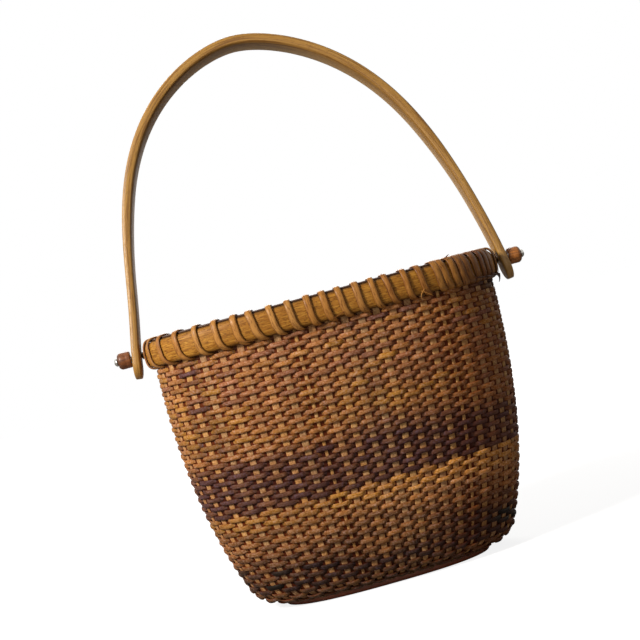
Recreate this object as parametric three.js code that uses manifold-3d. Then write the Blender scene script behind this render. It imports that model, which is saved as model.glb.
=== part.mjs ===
// Oval Nantucket basket with a bent-wood swing handle, in millimetres, +Z up.
// The origin is the middle of the flat underside of the wooden base plate.
// X runs along the long way of the oval and through both handle pins, and -Y is the front.
import * as THREE from "three";
import { mergeVertices } from "three/addons/utils/BufferGeometryUtils.js";
import Module from "manifold-3d";

const wasm = await Module();
wasm.setup();

// Plan oval: one squared-off oval is kept at every height.
const rimHalfLength = 95.6; // middle of the wall, at the rim
const ovalWidthShare = 0.55; // half-width of the oval as a share of its half-length
const ovalPower = 2.5; // 2 is an ellipse, more is squarer
const wallLeanShare = 0.016; // the hand-woven wall leans to the right as it rises

// Staves: an odd number in all, closer together along the front than along the back.
const frontStaves = 25;
const backStaves = 22;
const frontBowShare = 0.033; // how far hand spacing drifts along the front
const frontDriftShare = 0.018;
const staveThickness = 0.9;
const staveTopWidth = 4;
const staveFootWidth = 2.8;
const staveTopShort = 1; // the stave is trimmed this far below the top of the hoops

// Woven wall: an outer and an inner layer of cane floats with the staves between them.
const fitGap = 0.3; // clearance between pieces that touch
const caneThickness = 1;

// Rim: two half-round hoops over the stave tops, a thin cap strip and a flat cane lashing.
const hoopHeight = 14.2;
const hoopPower = 3; // roundness of the half-round section
const outerHoopDepth = 4.2;
const innerHoopDepth = 4.2;
const capThickness = 0.8;
const capWidth = 3.4;
const lashWidth = 3.6;
const lashThickness = 0.7;
const lashSlack = 0.5; // how far the lashing stands off the hoops
const capSlack = 0.65; // how far it stands off the cap strip
const lashTuckGap = 0.4; // between the lashing and the top course of the weave
const lashSwingShare = 0.17; // keeps the loops clear of the handle pins
const frontLoops = 24;

// Wall height and profile. The points are shares of the rim's half-length and of the weave's height.
const weaveTop = 144.5;
const heelPointShares = [0.8, 0.114];
const heelRunShares = [0.737, 0.78];
const heelRiseShare = 0.069;
const lowPullShares = [0.973, 0.388];
const highPullShares = [1.008, 0.747];

// Base plate: an oval of wood with a groove round its edge that takes the stave feet.
const plateHalfLength = 59;
const plateThickness = 6.4;
const plateEdgeRound = 0.9;
const grooveLevel = 4.4; // middle of the groove
const footDepth = 5; // how far a stave foot reaches into the plate
const footRun = 1.2; // flat run of the weave outside the plate before it turns up

// Handle: a bent bow on two pins.
const pivotRise = 1; // the pins sit this far above the middle of the hoops
const legStandOff = 3.2; // between the outer hoop and a leg, with the bow in the middle
const bowShift = 0.3; // the bow sits this far to the right on its pins
const bowRise = 163.9; // to the middle of the bow, above the pins
const bowThickness = 5;
const bowDepth = 15;
const bowEdgeRound = 1.4;
const legDrop = 12.4; // leg below the pin
const bowLeanShare = 0.05; // the hand-bent bow leans to the left
const bowRestSwing = 10; // degrees that it stands back from upright at rest
// Each half is drawn from its pin towards these points, as shares of the half span and the rise.
const leftPullShares = [
  [0.96, 0.148],
  [0.8, 0.341],
  [0.9885, 0.77],
  [0.306, 1],
];
const rightPullShares = [
  [0.968, 0.252],
  [0.8405, 0.523],
  [0.8415, 0.803],
  [0.285, 1],
];

// Pins and knobs.
const pinRadius = 1.3;
const pinHeadRadius = 2.3;
const pinHeadRise = 1.9;
const pinCollarRadius = 2;
const pinBurrRadius = 2.2;
const pinBurrThickness = 0.8;
const knobRadius = 4.7;
const knobLength = 7.3;
const knobChamfer = 1.3;
const cutOverrun = 3; // how far a cutting tool passes the faces that it cuts

// Mesh fineness.
const heelSteps = 3;
const sideSteps = 5;
const lashSteps = 10; // per loop
const hoopSectionSteps = 6;
const archSteps = 12; // per half of the bow
const turnedSides = 14;

// Values that follow from the sizes above.
const staveCount = frontStaves + backStaves;
const wallSeat = staveThickness / 2 + fitGap; // from the middle of the wall to either layer of cane
const underPass = lashSlack + lashThickness + lashTuckGap;
const hoopMiddle = weaveTop + underPass + hoopHeight / 2;
const hoopTop = hoopMiddle + hoopHeight / 2;
const pivotHeight = hoopMiddle + pivotRise;
const bowHalfSpan = rimHalfLength + wallSeat + outerHoopDepth + legStandOff + bowThickness / 2;
const sideClearance = fitGap / ovalWidthShare; // lengthwise gap that leaves fitGap across the oval

const materials = {
  oak: new THREE.MeshStandardMaterial({ color: 0xb07f45, roughness: 0.45, metalness: 0 }),
  stave: new THREE.MeshStandardMaterial({ color: 0xa87442, roughness: 0.55, metalness: 0 }),
  cane: new THREE.MeshStandardMaterial({ color: 0x94694a, roughness: 0.5, metalness: 0 }),
  lash: new THREE.MeshStandardMaterial({ color: 0xb88752, roughness: 0.4, metalness: 0 }),
  cap: new THREE.MeshStandardMaterial({ color: 0x5b3a22, roughness: 0.6, metalness: 0 }),
  plate: new THREE.MeshStandardMaterial({ color: 0x6b3a24, roughness: 0.5, metalness: 0 }),
  knob: new THREE.MeshStandardMaterial({ color: 0x8a5230, roughness: 0.4, metalness: 0 }),
  pin: new THREE.MeshStandardMaterial({ color: 0xb9b4a8, roughness: 0.3, metalness: 1 }),
};

// The plan oval for a half-length of 1, walked by share of its own length from the right-hand end.
class PlanOval extends THREE.Curve {
  getPoint(share, target = new THREE.Vector3()) {
    const angle = share * 2 * Math.PI;
    const along = Math.cos(angle);
    const across = Math.sin(angle);
    return target.set(
      Math.sign(along) * Math.abs(along) ** (2 / ovalPower),
      ovalWidthShare * Math.sign(across) * Math.abs(across) ** (2 / ovalPower),
      0,
    );
  }
}
const planOval = new PlanOval();
planOval.arcLengthDivisions = 1200;

// Share of the oval at which gap number i between two staves lies. The left-hand and the
// right-hand end of the oval are each a gap, so that the handle pins pass between staves.
function gapShare(i) {
  const wrapped = (i + staveCount) % staveCount;
  if (wrapped < backStaves) {
    return (0.5 * wrapped) / backStaves;
  }
  const way = (wrapped - backStaves) / frontStaves;
  const drift = frontBowShare * Math.sin(Math.PI * way) + frontDriftShare * Math.sin(2 * Math.PI * way);
  return 0.5 + 0.5 * (way + drift);
}

// Every gap: its point on the unit oval and the level direction straight out of the wall there.
const gaps = Array.from({ length: staveCount }, (_, i) => {
  const share = gapShare(i);
  const place = planOval.getPointAt(share);
  const along = planOval.getTangentAt(share === 0 ? Number.EPSILON : share);
  const atEnd = share === 0 || share === 0.5;
  if (atEnd) {
    along.set(0, Math.sign(place.x), 0);
  }
  return { place, along, out: new THREE.Vector3(along.y, -along.x, 0) };
});

// The middle line of the wall from the stave foot to the rim, as half-length against height.
const footTip = new THREE.Vector2(plateHalfLength - footDepth, grooveLevel);
const weaveStart = new THREE.Vector2(plateHalfLength + sideClearance, grooveLevel);
const heelStart = new THREE.Vector2(plateHalfLength + footRun, grooveLevel);
const heelEnd = new THREE.Vector2(heelPointShares[0] * rimHalfLength, heelPointShares[1] * weaveTop);
const heel = new THREE.CubicBezierCurve(
  heelStart,
  new THREE.Vector2(heelRunShares[0] * rimHalfLength, grooveLevel),
  new THREE.Vector2(heelRunShares[1] * rimHalfLength, heelRiseShare * weaveTop),
  heelEnd,
);
const side = new THREE.CubicBezierCurve(
  heelEnd,
  new THREE.Vector2(lowPullShares[0] * rimHalfLength, lowPullShares[1] * weaveTop),
  new THREE.Vector2(highPullShares[0] * rimHalfLength, highPullShares[1] * weaveTop),
  new THREE.Vector2(rimHalfLength, weaveTop),
);
const level = new THREE.Vector2(1, 0);
const upright = new THREE.Vector2(0, 1);

// A station is one point of that line with its direction of travel.
const wovenStations = [{ at: weaveStart, way: level }];
for (let i = 1; i <= heelSteps; i++) {
  wovenStations.push({ at: heel.getPoint(i / heelSteps), way: heel.getTangent(i / heelSteps) });
}
for (let i = 1; i <= sideSteps; i++) {
  const last = i === sideSteps;
  const way = last ? upright : side.getTangent(i / sideSteps);
  wovenStations.push({ at: side.getPoint(i / sideSteps), way });
}
const staveTop = new THREE.Vector2(rimHalfLength, hoopTop - staveTopShort);
const staveStations = [
  { at: footTip, way: level },
  ...wovenStations,
  { at: staveTop, way: upright },
];

// How far to the right the wall has leaned at a height.
function wallLean(height) {
  return wallLeanShare * (height - grooveLevel);
}

// Point of the wall at a gap and a station, moved square to the wall by offset.
function wallPoint(gap, station, offset) {
  const { at, way } = station;
  const middle = new THREE.Vector3(at.x * gap.place.x + wallLean(at.y), at.x * gap.place.y, at.y);
  const up = new THREE.Vector3(
    way.x * gap.place.x + wallLeanShare * way.y,
    way.x * gap.place.y,
    way.y,
  );
  const square = new THREE.Vector3().crossVectors(gap.along, up).normalize();
  return middle.addScaledVector(square, offset);
}

// Point of the rim at a gap, offset level from the middle of the wall, at a given height.
function rimPoint(gap, offset, height) {
  return new THREE.Vector3(
    rimHalfLength * gap.place.x + wallLean(height),
    rimHalfLength * gap.place.y,
    height,
  ).addScaledVector(gap.out, offset);
}

// A closed surface through rings of points. A looped skin joins its last ring to its first,
// and any other skin is closed by a flat fan over each end ring. Faces point outwards.
function skin(rings, looped) {
  const count = rings[0].length;
  const points = rings.flat();
  const faces = [];
  const spans = looped ? rings.length : rings.length - 1;
  for (let r = 0; r < spans; r++) {
    const here = r * count;
    const next = ((r + 1) % rings.length) * count;
    for (let i = 0; i < count; i++) {
      const j = (i + 1) % count;
      faces.push([here + i, here + j, next + j], [here + i, next + j, next + i]);
    }
  }
  if (!looped) {
    const last = (rings.length - 1) * count;
    for (let i = 1; i < count - 1; i++) {
      faces.push([0, i + 1, i], [last, last + i, last + i + 1]);
    }
  }
  const volume = faces.reduce((sum, [a, b, c]) => {
    const cross = new THREE.Vector3().crossVectors(points[b], points[c]);
    return sum + points[a].dot(cross);
  }, 0);
  const outward = volume < 0 ? faces.map(([a, b, c]) => [a, c, b]) : faces;
  const geometry = new THREE.BufferGeometry().setFromPoints(points);
  geometry.setIndex(outward.flat());
  geometry.computeVertexNormals();
  return geometry;
}

// Joins and cuts.
function solidOf(geometry) {
  const bare = geometry.clone();
  bare.deleteAttribute("normal");
  bare.deleteAttribute("uv");
  const merged = mergeVertices(bare);
  return new wasm.Manifold(
    new wasm.Mesh({
      numProp: 3,
      vertProperties: new Float32Array(merged.attributes.position.array),
      triVerts: new Uint32Array(merged.index.array),
    }),
  );
}

function geometryOf(solid) {
  const mesh = solid.getMesh();
  const geometry = new THREE.BufferGeometry();
  geometry.setAttribute("position", new THREE.BufferAttribute(new Float32Array(mesh.vertProperties), 3));
  geometry.setIndex(new THREE.BufferAttribute(new Uint32Array(mesh.triVerts), 1));
  geometry.computeVertexNormals();
  return geometry;
}

// Cuts the two pin holes, which lie on one level line along X, through a geometry. middle is the
// point halfway between them, and each hole runs between two distances from it.
function withPinHoles(geometry, middle, from, to) {
  const holes = [-1, 1].map((end) => {
    const hole = new THREE.CylinderGeometry(
      pinRadius + fitGap,
      pinRadius + fitGap,
      Math.abs(to - from) + 2 * cutOverrun,
      turnedSides,
    );
    hole.rotateZ(Math.PI / 2);
    hole.translate(middle.x + (end * (from + to)) / 2, middle.y, middle.z);
    return solidOf(hole);
  });
  return geometryOf(solidOf(geometry).subtract(holes[0]).subtract(holes[1]));
}

// One layer of the woven wall, between two offsets from its middle line.
function weaveLayer(near, far) {
  const sections = gaps.map((gap) => [
    ...wovenStations.map((station) => wallPoint(gap, station, far)),
    ...wovenStations.toReversed().map((station) => wallPoint(gap, station, near)),
  ]);
  return skin(sections, true);
}

// A stave stands in the middle between two gaps and tapers down to its foot.
function stave(number) {
  const before = gaps[number];
  const after = gaps[(number + 1) % staveCount];
  const rings = staveStations.map((station, i) => {
    const [outA, outB, inB, inA] = [
      wallPoint(before, station, staveThickness / 2),
      wallPoint(after, station, staveThickness / 2),
      wallPoint(after, station, -staveThickness / 2),
      wallPoint(before, station, -staveThickness / 2),
    ];
    const climb = i / (staveStations.length - 1);
    const width = THREE.MathUtils.lerp(staveFootWidth, staveTopWidth, climb);
    const near = 0.5 - width / 2 / outA.distanceTo(outB);
    return [
      outA.clone().lerp(outB, near),
      outA.clone().lerp(outB, 1 - near),
      inA.clone().lerp(inB, 1 - near),
      inA.clone().lerp(inB, near),
    ];
  });
  return skin(rings, false);
}

// The point of the pin line in the middle of the rim.
const pivotPlace = new THREE.Vector3(wallLean(pivotHeight), 0, pivotHeight);

// A half-round hoop, flat against the staves. side is 1 for the outer and -1 for the inner hoop.
function hoop(side, depth) {
  const reach = (Math.PI / 2) * (1 - 0.5 / hoopSectionSteps);
  const sections = gaps.map((gap) => {
    const section = [rimPoint(gap, side * wallSeat, hoopMiddle - hoopHeight / 2)];
    for (let i = 0; i < hoopSectionSteps; i++) {
      const angle = reach * ((2 * i) / (hoopSectionSteps - 1) - 1);
      const bulge = Math.cos(angle) ** (2 / hoopPower);
      const rise = Math.sign(angle) * Math.abs(Math.sin(angle)) ** (2 / hoopPower);
      section.push(
        rimPoint(gap, side * (wallSeat + depth * bulge), hoopMiddle + (rise * hoopHeight) / 2),
      );
    }
    section.push(rimPoint(gap, side * wallSeat, hoopTop));
    return section;
  });
  const face = rimHalfLength + side * wallSeat;
  return withPinHoles(skin(sections, true), pivotPlace, face, face + side * depth);
}

function capStrip() {
  const low = hoopTop + fitGap;
  const high = low + capThickness;
  const sections = gaps.map((gap) => [
    rimPoint(gap, capWidth / 2, low),
    rimPoint(gap, capWidth / 2, high),
    rimPoint(gap, -capWidth / 2, high),
    rimPoint(gap, -capWidth / 2, low),
  ]);
  return skin(sections, true);
}

// Middle of the lashing at a count of loops. A whole number is a gap, where the cane passes
// under the hoops, and between two gaps it goes up inside, over the cap and down outside.
const lashOff = lashSlack + lashThickness / 2;
const lashReach = {
  out: wallSeat + outerHoopDepth + lashOff,
  in: wallSeat + innerHoopDepth + lashOff,
  up: hoopHeight / 2 + fitGap + capThickness + capSlack + lashThickness / 2,
  down: hoopHeight / 2 + lashOff,
};
function lashMiddle(loops) {
  const turn = loops - Math.floor(loops);
  const angle = -Math.PI / 2 - turn * 2 * Math.PI;
  const sideways = Math.cos(angle);
  const upwards = Math.sin(angle);
  const offset =
    Math.sign(sideways) *
    (sideways > 0 ? lashReach.out : lashReach.in) *
    Math.abs(sideways) ** (2 / hoopPower);
  const height =
    Math.sign(upwards) *
    (upwards > 0 ? lashReach.up : lashReach.down) *
    Math.abs(upwards) ** (2 / hoopPower);
  const before = gaps[Math.floor(loops) % staveCount];
  const after = gaps[(Math.floor(loops) + 1) % staveCount];
  const advance = turn + lashSwingShare * Math.sin(2 * Math.PI * turn);
  const point = rimPoint(before, offset, hoopMiddle + height);
  return {
    point: point.lerp(rimPoint(after, offset, hoopMiddle + height), advance),
    along: after.place.clone().sub(before.place).normalize(),
  };
}

// One unbroken length of flat cane wound from one gap to another.
function lashing(name, firstGap, loops) {
  const steps = loops * lashSteps - 1;
  const rings = [];
  for (let i = 0; i <= steps; i++) {
    const count = firstGap + i / lashSteps;
    const here = lashMiddle(count);
    const ahead = lashMiddle(Math.min(count + 1 / lashSteps, firstGap + steps / lashSteps)).point;
    const behind = lashMiddle(Math.max(count - 1 / lashSteps, firstGap)).point;
    const way = ahead.sub(behind).normalize();
    const across = here.along.addScaledVector(way, -here.along.dot(way)).normalize();
    const through = new THREE.Vector3().crossVectors(way, across);
    rings.push(
      [
        [-1, -1],
        [1, -1],
        [1, 1],
        [-1, 1],
      ].map(([a, t]) =>
        here.point
          .clone()
          .addScaledVector(across, (a * lashWidth) / 2)
          .addScaledVector(through, (t * lashThickness) / 2),
      ),
    );
  }
  console.log(name + ": least gap between its loops " + leastGap(rings).toFixed(2) + " mm");
  return skin(rings, false);
}

// Least distance between corner points of a winding that are half a loop or more apart.
function leastGap(rings) {
  let least = Infinity;
  rings.forEach((ring, i) => {
    rings.slice(i + lashSteps / 2, i + 2 * lashSteps).forEach((other) => {
      ring.forEach((p) => other.forEach((q) => (least = Math.min(least, p.distanceTo(q)))));
    });
  });
  return least;
}

// The plate is skinned up its edge through the groove and closed by its flat faces.
function basePlate() {
  const grooveHalf = staveThickness / 2 + fitGap;
  const grooveFloor = plateHalfLength - footDepth - sideClearance;
  const outline = [
    [plateHalfLength - plateEdgeRound, 0],
    [plateHalfLength, plateEdgeRound],
    [plateHalfLength, grooveLevel - grooveHalf],
    [grooveFloor, grooveLevel - grooveHalf],
    [grooveFloor, grooveLevel + grooveHalf],
    [plateHalfLength, grooveLevel + grooveHalf],
    [plateHalfLength, plateThickness - plateEdgeRound / 2],
    [plateHalfLength - plateEdgeRound, plateThickness],
  ];
  const rings = outline.map(([halfLength, height]) =>
    gaps.map(({ place }) => new THREE.Vector3(halfLength * place.x, halfLength * place.y, height)),
  );
  return skin(rings, false);
}

// A smooth curve that runs from its first point to its last and is drawn towards those between.
class DrawnCurve extends THREE.Curve {
  constructor(points) {
    super();
    this.points = points;
  }

  getPoint(share, target = new THREE.Vector3()) {
    let row = this.points;
    while (row.length > 1) {
      row = row.slice(1).map((point, i) => row[i].clone().lerp(point, share));
    }
    return target.copy(row[0]);
  }
}

// The bow stands in its own frame, with the pin line as X and the pins at height 0. end is -1 for
// the left and 1 for the right, and each half is a curve from its pin up to the crown.
function halfBow(end, pullShares) {
  return new DrawnCurve(
    [[1, 0], ...pullShares, [0, 1]].map(([spanShare, riseShare]) => {
      const rise = riseShare * bowRise;
      const across = end * spanShare * bowHalfSpan + bowShift - bowLeanShare * rise;
      return new THREE.Vector3(across, 0, rise);
    }),
  );
}
const halves = [
  { end: -1, curve: halfBow(-1, leftPullShares) },
  { end: 1, curve: halfBow(1, rightPullShares) },
];
const legs = halves.map(({ end, curve }) => {
  const way = curve.getTangent(0);
  return {
    end,
    distance: bowHalfSpan + end * bowShift, // from the middle of the pin line to the leg
    slope: Math.abs(way.x / way.z),
    pointBelow: (drop) => curve.getPoint(0).addScaledVector(way, -drop),
  };
});

function bow() {
  const endRound = bowDepth / 2;
  const line = [];
  const legRings = [20, 45, 90].map((degrees) => {
    const angle = THREE.MathUtils.degToRad(degrees);
    return { drop: legDrop - endRound * (1 - Math.cos(angle)), half: endRound * Math.sin(angle) };
  });
  legRings.forEach(({ drop, half }) => line.push({ point: legs[0].pointBelow(drop), half }));
  for (let i = 0; i <= 2 * archSteps; i++) {
    const share = i / archSteps;
    const point = share <= 1 ? halves[0].curve.getPoint(share) : halves[1].curve.getPoint(2 - share);
    line.push({ point, half: endRound });
  }
  legRings
    .toReversed()
    .forEach(({ drop, half }) => line.push({ point: legs[1].pointBelow(drop), half }));
  const rings = line.map(({ point, half }, i) => {
    const ahead = line[Math.min(i + 1, line.length - 1)].point;
    const behind = line[Math.max(i - 1, 0)].point;
    const way = ahead.clone().sub(behind).normalize();
    const out = new THREE.Vector3(-way.z, 0, way.x);
    const thick = bowThickness / 2;
    const cut = Math.min(bowEdgeRound, half / 2);
    return [
      [thick, half - cut],
      [thick - bowEdgeRound, half],
      [bowEdgeRound - thick, half],
      [-thick, half - cut],
      [-thick, cut - half],
      [bowEdgeRound - thick, -half],
      [thick - bowEdgeRound, -half],
      [thick, cut - half],
    ].map(([outward, across]) => {
      const corner = point.clone().addScaledVector(out, outward);
      corner.y = across;
      return corner;
    });
  });
  const middle = new THREE.Vector3(bowShift, 0, 0);
  const near = bowHalfSpan - bowThickness;
  const far = bowHalfSpan + bowThickness;
  return withPinHoles(skin(rings, false), middle, near, far);
}

// Turns a profile of [radius, distance from the middle of the basket] about the pin line.
function turned(profile, end) {
  const points = profile.map(([radius, distance]) => new THREE.Vector2(radius, distance));
  const geometry = new THREE.LatheGeometry(points, turnedSides);
  geometry.rotateZ((-end * Math.PI) / 2);
  return geometry;
}

// Places along the pin line, from the middle of the basket outwards.
const burrFace = rimHalfLength - wallSeat - innerHoopDepth - fitGap;
const collarStart = rimHalfLength + wallSeat + outerHoopDepth + fitGap;
function knobStart(leg) {
  return leg.distance + bowThickness / 2 + fitGap + leg.slope * knobRadius;
}

function pin(leg) {
  const collarEnd = leg.distance - bowThickness / 2 - fitGap - leg.slope * pinCollarRadius;
  const headStart = knobStart(leg) + knobLength + fitGap;
  return turned(
    [
      [0, burrFace - pinBurrThickness],
      [pinBurrRadius, burrFace - pinBurrThickness],
      [pinBurrRadius, burrFace],
      [pinRadius, burrFace],
      [pinRadius, collarStart],
      [pinCollarRadius, collarStart],
      [pinCollarRadius, collarEnd],
      [pinRadius, collarEnd],
      [pinRadius, headStart],
      [pinHeadRadius, headStart],
      [pinHeadRadius * Math.cos(Math.PI / 6), headStart + pinHeadRise / 2],
      [pinHeadRadius / 2, headStart + pinHeadRise * Math.cos(Math.PI / 6)],
      [0, headStart + pinHeadRise],
    ],
    leg.end,
  );
}

function knob(leg) {
  const bore = pinRadius + fitGap;
  const start = knobStart(leg);
  const outerEnd = start + knobLength;
  const inner = [bore, start];
  return turned(
    [
      inner,
      [knobRadius - knobChamfer / 2, start],
      [knobRadius, start + knobChamfer / 2],
      [knobRadius, outerEnd - knobChamfer],
      [knobRadius - knobChamfer, outerEnd],
      [bore, outerEnd],
      inner,
    ],
    leg.end,
  );
}

// Assembly.
function place(group, name, geometry, material) {
  const mesh = new THREE.Mesh(geometry, material);
  mesh.name = name;
  group.add(mesh);
}

const basket = new THREE.Group();
place(basket, "base_plate", basePlate(), materials.plate);
for (let i = 0; i < staveCount; i++) {
  place(basket, "stave_" + String(i + 1).padStart(2, "0"), stave(i), materials.stave);
}
place(basket, "weave_outer", weaveLayer(wallSeat, wallSeat + caneThickness), materials.cane);
place(basket, "weave_inner", weaveLayer(-wallSeat, -wallSeat - caneThickness), materials.cane);
place(basket, "outer_hoop", hoop(1, outerHoopDepth), materials.oak);
place(basket, "inner_hoop", hoop(-1, innerHoopDepth), materials.oak);
place(basket, "rim_cap", capStrip(), materials.cap);
place(
  basket,
  "lashing_front",
  lashing("lashing_front", backStaves, frontLoops),
  materials.lash,
);
place(
  basket,
  "lashing_back",
  lashing("lashing_back", backStaves + frontLoops, staveCount - frontLoops),
  materials.lash,
);
const pins = new THREE.Group();
pins.position.copy(pivotPlace);
place(pins, "pin_left", pin(legs[0]), materials.pin);
place(pins, "pin_right", pin(legs[1]), materials.pin);
basket.add(pins);

const handle = new THREE.Group();
handle.position.copy(pivotPlace);
handle.rotation.x = -THREE.MathUtils.degToRad(bowRestSwing);
place(handle, "handle_bow", bow(), materials.oak);
place(handle, "knob_left", knob(legs[0]), materials.knob);
place(handle, "knob_right", knob(legs[1]), materials.knob);

const part = new THREE.Group();
part.add(basket, handle);

export default part;
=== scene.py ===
import math

import bmesh
import bpy
import numpy as np
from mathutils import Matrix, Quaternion, Vector


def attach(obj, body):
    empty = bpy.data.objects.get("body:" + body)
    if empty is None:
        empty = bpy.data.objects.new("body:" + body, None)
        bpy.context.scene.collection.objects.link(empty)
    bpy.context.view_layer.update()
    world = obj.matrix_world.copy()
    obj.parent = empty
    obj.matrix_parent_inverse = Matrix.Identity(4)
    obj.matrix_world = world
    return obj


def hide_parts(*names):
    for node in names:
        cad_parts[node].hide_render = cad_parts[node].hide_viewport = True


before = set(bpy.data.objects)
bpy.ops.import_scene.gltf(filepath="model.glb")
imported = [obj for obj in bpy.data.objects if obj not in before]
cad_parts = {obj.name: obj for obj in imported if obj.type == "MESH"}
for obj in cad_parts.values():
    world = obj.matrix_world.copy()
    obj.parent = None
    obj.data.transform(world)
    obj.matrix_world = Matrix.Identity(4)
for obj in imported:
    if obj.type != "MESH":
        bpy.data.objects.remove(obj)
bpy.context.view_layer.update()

MM = 0.001
rng = np.random.default_rng(47)

# Sizes in millimetres, the same as those of the solids.
RIM_HALF_LENGTH = 95.6
OVAL_WIDTH_SHARE = 0.55
OVAL_POWER = 2.5
WALL_LEAN_SHARE = 0.016
FRONT_STAVES = 25
BACK_STAVES = 22
STAVES = FRONT_STAVES + BACK_STAVES
FRONT_BOW_SHARE = 0.033
FRONT_DRIFT_SHARE = 0.018
STAVE_THICKNESS = 0.9
STAVE_FOOT_WIDTH = 2.8
STAVE_TOP_WIDTH = 4.0
STAVE_TOP = 159.3
FIT_GAP = 0.3
WALL_SEAT = STAVE_THICKNESS / 2 + FIT_GAP
HEEL_TOP = (76.5, 16.5)
WEAVE_TOP = 144.5
HOOP_HEIGHT = 14.2
HOOP_POWER = 3
OUTER_HOOP_DEPTH = 4.2
INNER_HOOP_DEPTH = 4.2
HOOP_MIDDLE = 153.2
HOOP_TOP = 160.3
CAP_THICKNESS = 0.8
PLATE_HALF_LENGTH = 59.0
PLATE_THICKNESS = 6.4
GROOVE_LEVEL = 4.4
FOOT_DEPTH = 5.0
FOOT_RUN = 1.2
PIVOT_HEIGHT = 154.2
BOW_HALF_SPAN = 106.25
BOW_SHIFT = 0.3
BOW_RISE = 163.9
BOW_THICKNESS = 5.0
BOW_DEPTH = 15.0
BOW_LEAN_SHARE = 0.05
BOW_REST_SWING = 10.0
LEG_DROP = 12.4
LEFT_PULLS = [(0.96, 0.148), (0.8, 0.341), (0.9885, 0.77), (0.306, 1)]
RIGHT_PULLS = [(0.968, 0.252), (0.8405, 0.523), (0.8415, 0.803), (0.285, 1)]
PIN_RADIUS = 1.3
PIN_COLLAR_RADIUS = 2.0
PIN_HEAD_RADIUS = 2.3
PIN_HEAD_RISE = 1.9
KNOB_RADIUS = 4.7
KNOB_LENGTH = 7.3


# Soft steps, waves and directions.


def ease(x, low, high):
    """0 below low, 1 above high, and smooth between."""
    t = np.clip((x - low) / (high - low), 0, 1)
    return t * t * (3 - 2 * t)


def ease_off(x, low, high):
    return 1 - ease(x, low, high)


def belt(x, low, full, fading, gone):
    """1 from full to fading, and 0 below low and above gone."""
    return ease(x, low, full) * ease_off(x, fading, gone)


def squared(value, power):
    """A cosine or sine, squared off more as the power rises above 2."""
    return np.sign(value) * np.abs(value) ** (2 / power)


def of_length_one(ways):
    return ways / np.linalg.norm(ways, axis=-1, keepdims=True)


def travel(line):
    """Direction of travel along a line of points."""
    return of_length_one(np.gradient(line, axis=0))


def laid_flat(line, up):
    """The ways across and out of a strip that follows a line with one edge up."""
    way = travel(line)
    face = of_length_one(np.cross(way, up))
    return np.cross(face, way), face


def drift(x, seed, wave):
    """Smooth hand-made unevenness between about -1 and 1, from a few slow waves."""
    local = np.random.default_rng(seed)
    total = np.zeros(np.shape(x))
    for octave in range(4):
        pace = 2 * np.pi / wave * (1.0 + 0.73 * octave) * local.uniform(0.85, 1.15)
        total = total + np.sin(pace * x + local.uniform(0, 2 * np.pi)) / (1 + 0.6 * octave)
    return total / 2.0


def patches(across, along, seed, size):
    """Smooth blotches over the wall, about -1 to 1."""
    local = np.random.default_rng(seed)
    total = np.zeros(np.broadcast(across, along).shape)
    for _ in range(7):
        angle = local.uniform(0, 2 * np.pi)
        pace = 2 * np.pi / (size * local.uniform(0.6, 1.7))
        total = total + np.sin(
            pace * (math.cos(angle) * across + math.sin(angle) * along)
            + local.uniform(0, 2 * np.pi)
        )
    return total / 3.0


def bezier(points, steps):
    t = np.linspace(0, 1, steps + 1)[:, None]
    a, b, c, d = (np.array(p, float) for p in points)
    return (1 - t) ** 3 * a + 3 * t * (1 - t) ** 2 * b + 3 * t**2 * (1 - t) * c + t**3 * d


def drawn_curve(points, steps):
    """A smooth curve from the first point to the last, drawn towards those between."""
    share = np.linspace(0, 1, steps + 1)[:, None]
    row = [np.array(point, float) + 0 * share for point in points]
    while len(row) > 1:
        row = [a * (1 - share) + b * share for a, b in zip(row, row[1:])]
    return row[0]


# Form of the basket.

# The plan oval is walked by share of its own length from the right-hand end.
fine_turn = np.linspace(0, 2 * np.pi, 14401)
fine_x = squared(np.cos(fine_turn), OVAL_POWER)
fine_y = OVAL_WIDTH_SHARE * squared(np.sin(fine_turn), OVAL_POWER)
fine_walk = np.concatenate([[0], np.cumsum(np.hypot(np.diff(fine_x), np.diff(fine_y)))])
fine_share = fine_walk / fine_walk[-1]
NEAR_SHARE = 0.002


def oval_at(share):
    """Point of the oval for a half-length of 1, and its direction of travel."""

    def point(s):
        s = np.mod(s, 1.0)
        return np.stack(
            [np.interp(s, fine_share, fine_x), np.interp(s, fine_share, fine_y)], axis=-1
        )

    return point(share), of_length_one(point(share + NEAR_SHARE) - point(share - NEAR_SHARE))


def share_of_column(column):
    """Share of the oval at a column: whole numbers are the gaps between the staves."""
    column = np.mod(column, STAVES)
    way = (column - BACK_STAVES) / FRONT_STAVES
    shift = FRONT_BOW_SHARE * np.sin(np.pi * way) + FRONT_DRIFT_SHARE * np.sin(2 * np.pi * way)
    return np.where(column < BACK_STAVES, 0.5 * column / BACK_STAVES, 0.5 + 0.5 * (way + shift))


def facing_front(column):
    """1 at the middle of the front, and -1 at the middle of the back."""
    return -np.cos(2 * np.pi * (column - BACK_STAVES / 2) / STAVES)


def facing_right(column):
    """1 at the right-hand end of the front, and -1 at the left-hand end."""
    return np.sin(2 * np.pi * (column - BACK_STAVES - FRONT_STAVES / 2) / STAVES)


def by_right_end(column):
    """1 at the right-hand end of the oval, and -1 half the way round."""
    return np.cos(2 * np.pi * column / STAVES)


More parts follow.
